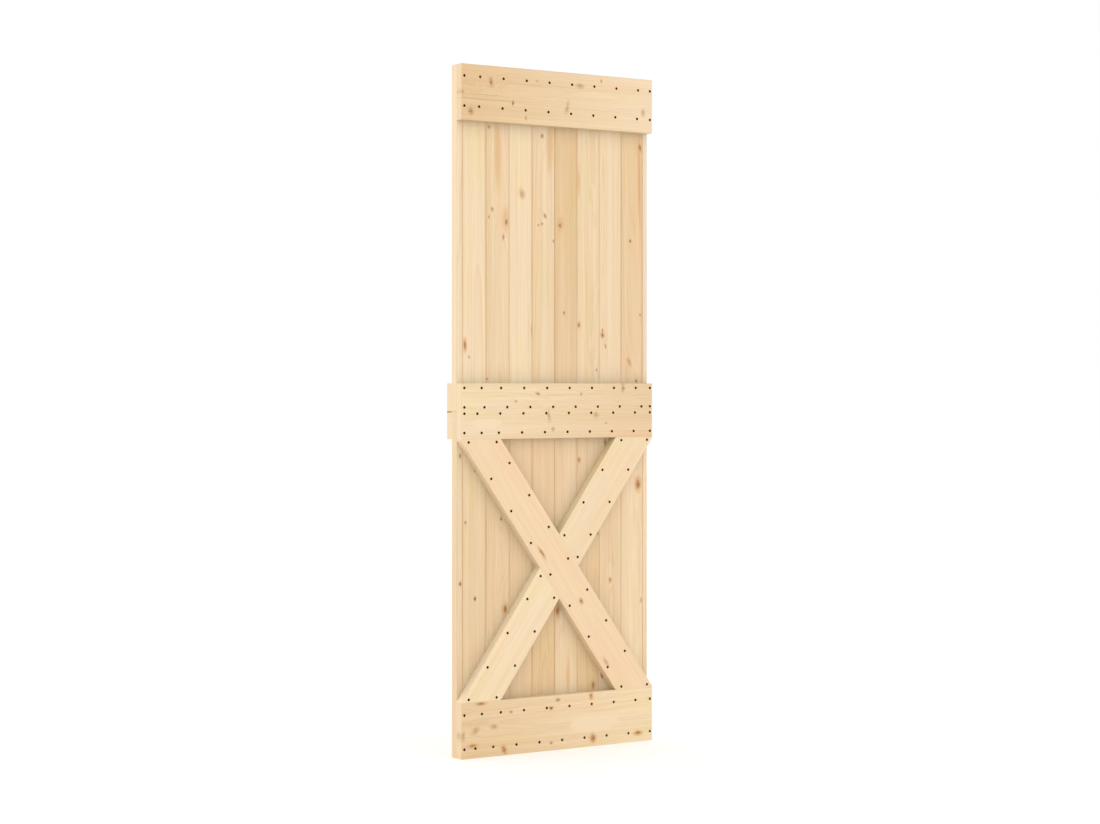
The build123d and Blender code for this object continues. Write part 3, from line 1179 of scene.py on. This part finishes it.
def seen_share(tree):
    """One for a ray straight from the camera or by way of gloss or glass, and nought for the rest."""
    path = add_node(tree, "ShaderNodeLightPath")
    either = calc(tree, "MAXIMUM", path.outputs["Is Camera Ray"], path.outputs["Is Glossy Ray"])
    return calc(tree, "MAXIMUM", either, path.outputs["Is Transmission Ray"])


def white_world(settings):
    """World that is white to the camera and a plain even light to the leaf."""
    world = bpy.data.worlds.new("White Room")
    world.use_nodes = True
    tree = world.node_tree
    tree.nodes.clear()
    way = axes(tree, add_node(tree, "ShaderNodeTexCoord").outputs["Generated"])
    top_light = settings.sky * settings.overhead
    from_above = ramp(tree, way["Z"], LOW_SKY, 1.0, settings.sky, top_light, smooth=False)
    depth = calc(tree, "ABSOLUTE", way["Y"])
    from_front = ramp(tree, depth, 0.0, 1.0, 1.0, settings.square_on, smooth=False)
    light = add_node(tree, "ShaderNodeBackground")
    feed(tree, light.inputs["Strength"], calc(tree, "MULTIPLY", from_above, from_front))
    seen = add_node(tree, "ShaderNodeBackground")
    seen.inputs["Strength"].default_value = 1.0
    for background in (light, seen):
        background.inputs["Color"].default_value = WHITE
    mix = add_node(tree, "ShaderNodeMixShader")
    for socket, value in zip(mix.inputs, (seen_share(tree), light.outputs[0], seen.outputs[0])):
        feed(tree, socket, value)
    output = add_node(tree, "ShaderNodeOutputWorld")
    feed(tree, output.inputs["Surface"], mix.outputs[0])
    bpy.context.scene.world = world


def white_floor(settings):
    """Pale floor that keeps the leaf's soft shadow."""
    half = settings.floor_size / 2
    mesh = bpy.data.meshes.new("floor")
    corners = [(-half, -half, 0.0), (half, -half, 0.0), (half, half, 0.0), (-half, half, 0.0)]
    mesh.from_pydata(corners, [], [(0, 1, 2, 3)])
    floor = bpy.data.objects.new("floor", mesh)
    bpy.context.scene.collection.objects.link(floor)
    material, tree, surface = new_material("White Floor")
    matt = add_node(tree, "ShaderNodeBsdfDiffuse")
    matt.inputs["Color"].default_value = FLOOR_COLOUR
    glow = add_node(tree, "ShaderNodeEmission")
    glow.inputs["Color"].default_value = WHITE
    feed(tree, glow.inputs["Strength"], calc(tree, "MULTIPLY", seen_share(tree), settings.floor_lift))
    both = add_node(tree, "ShaderNodeAddShader")
    feed(tree, both.inputs[0], matt.outputs[0])
    feed(tree, both.inputs[1], glow.outputs[0])
    feed(tree, surface, both.outputs[0])
    mesh.materials.append(material)


class BARNDOOR_OT_finish_boards(bpy.types.Operator):
    """Give the tongue and groove boards their pine"""

    bl_idname = "barn_door.finish_boards"
    bl_label = "Finish Boards"

    def execute(self, context):
        settings = context.scene.barn_door_pine
        for name, tones in BOARD_TONES.items():
            dress(name, UPRIGHT, BOARD_RINGS, tones, settings)
        return {"FINISHED"}


class BARNDOOR_OT_finish_rails(bpy.types.Operator):
    """Give the front rails and the back rail their pine"""

    bl_idname = "barn_door.finish_rails"
    bl_label = "Finish Rails"

    def execute(self, context):
        settings = context.scene.barn_door_pine
        for name, tones in RAIL_TONES.items():
            dress(name, LEVEL, RAIL_RINGS, tones, settings)
        return {"FINISHED"}


class BARNDOOR_OT_finish_braces(bpy.types.Operator):
    """Give the full brace and the two half braces their pine"""

    bl_idname = "barn_door.finish_braces"
    bl_label = "Finish Braces"

    def execute(self, context):
        settings = context.scene.barn_door_pine
        for name, tones in BRACE_TONES.items():
            dress(name, BRACE_TURNS[name], BRACE_RINGS, tones, settings)
        return {"FINISHED"}


class BARNDOOR_OT_set_screws(bpy.types.Operator):
    """Set round countersunk screws in the rails and braces"""

    bl_idname = "barn_door.set_screws"
    bl_label = "Set Screws"

    def execute(self, context):
        settings = context.scene.barn_door_screws
        tree = screw_tree()
        material = screw_material(settings)
        for number, name in enumerate(SCREW_COUNTS):
            set_screws(name, tree, material, settings, settings.turn_seed + number)
        return {"FINISHED"}


class BARNDOOR_OT_set_stage(bpy.types.Operator):
    """Set up the camera, the white floor and the soft light"""

    bl_idname = "barn_door.set_stage"
    bl_label = "Set Stage"

    def execute(self, context):
        settings = context.scene.barn_door_stage
        scene = context.scene
        lens = bpy.data.cameras.new("Camera")
        lens.sensor_width = SENSOR_WIDTH
        lens.lens = settings.lens
        lens.shift_y = settings.rise
        lens.clip_end = VIEW_DEPTH
        camera = bpy.data.objects.new("Camera", lens)
        camera.location = settings.camera_place
        camera.rotation_euler = (QUARTER_TURN, 0.0, settings.camera_turn)
        scene.collection.objects.link(camera)
        scene.camera = camera
        middle = (Vector(cad_box[0]) + Vector(cad_box[1])) / 2
        soft_lamp("Right Lamp", LAMP_PLACE, middle, LAMP_WIDTH, settings.right_lamp)
        white_world(settings)
        white_floor(settings)
        scene.view_settings.view_transform = "Standard"
        return {"FINISHED"}


class BARNDOOR_PT_panel(bpy.types.Panel):
    """Steps and settings of the barn door leaf"""

    bl_idname = "BARNDOOR_PT_panel"
    bl_label = "Barn Door"
    bl_space_type = "VIEW_3D"
    bl_region_type = "UI"
    bl_category = "Barn Door"

    def draw(self, context):
        layout = self.layout
        for step in STEPS:
            layout.operator(step.bl_idname)
        for label, group in SETTING_GROUPS.items():
            box = layout.box()
            box.label(text=label.replace("barn_door_", "").title())
            settings = getattr(context.scene, label)
            for key in group.__annotations__:
                box.prop(settings, key)


STEPS = (
    BARNDOOR_OT_finish_boards,
    BARNDOOR_OT_finish_rails,
    BARNDOOR_OT_finish_braces,
    BARNDOOR_OT_set_screws,
    BARNDOOR_OT_set_stage,
)
SETTING_GROUPS = {
    "barn_door_pine": PineSettings,
    "barn_door_screws": ScrewSettings,
    "barn_door_stage": StageSettings,
}


def register():
    """Register the settings, the steps and the panel."""
    for label, group in SETTING_GROUPS.items():
        bpy.utils.register_class(group)
        setattr(bpy.types.Scene, label, bpy.props.PointerProperty(type=group))
    for item in (*STEPS, BARNDOOR_PT_panel):
        bpy.utils.register_class(item)


def unregister():
    """Take the panel, the steps and the settings away again."""
    for item in reversed((*STEPS, BARNDOOR_PT_panel)):
        bpy.utils.unregister_class(item)
    for label, group in SETTING_GROUPS.items():
        delattr(bpy.types.Scene, label)
        bpy.utils.unregister_class(group)


def main():
    """Make every piece and the stage."""
    register()
    bpy.ops.barn_door.finish_boards()
    bpy.ops.barn_door.finish_rails()
    bpy.ops.barn_door.finish_braces()
    bpy.ops.barn_door.set_screws()
    bpy.ops.barn_door.set_stage()


if __name__ == "__main__":
    main()
